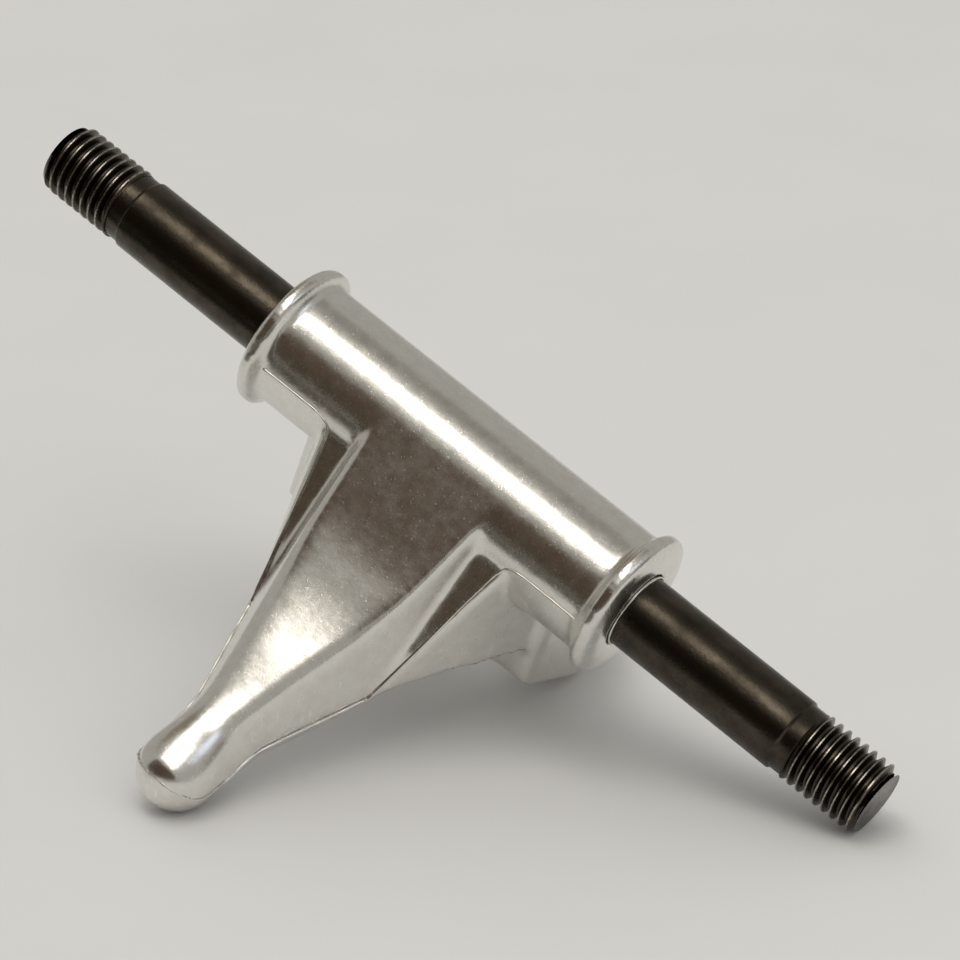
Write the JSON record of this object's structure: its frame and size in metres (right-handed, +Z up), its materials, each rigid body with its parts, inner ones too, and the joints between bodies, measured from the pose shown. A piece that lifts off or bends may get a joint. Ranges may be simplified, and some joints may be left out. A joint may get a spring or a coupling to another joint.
{
  "type": "roller skate truck hanger",
  "caption": "Bare roller-skate truck hanger: barrel on a straight threaded axle, flat-topped arm down to a round pivot nose, and a kingpin ring with cushion seats.",
  "frame": {"origin": "middle of the kingpin bore", "axes": "+Z up the kingpin bore's axis to the nut's side, X along the axle, -Y toward the pivot nose"},
  "size_m": [0.1084, 0.0598, 0.048],
  "materials": {
    "cast_aluminium": "polished",
    "black_oxide_steel": "satin"
  },
  "bodies": {
    "truck": {"hanger": "cast_aluminium", "axle": "black_oxide_steel"}
  },
  "joints": []
}
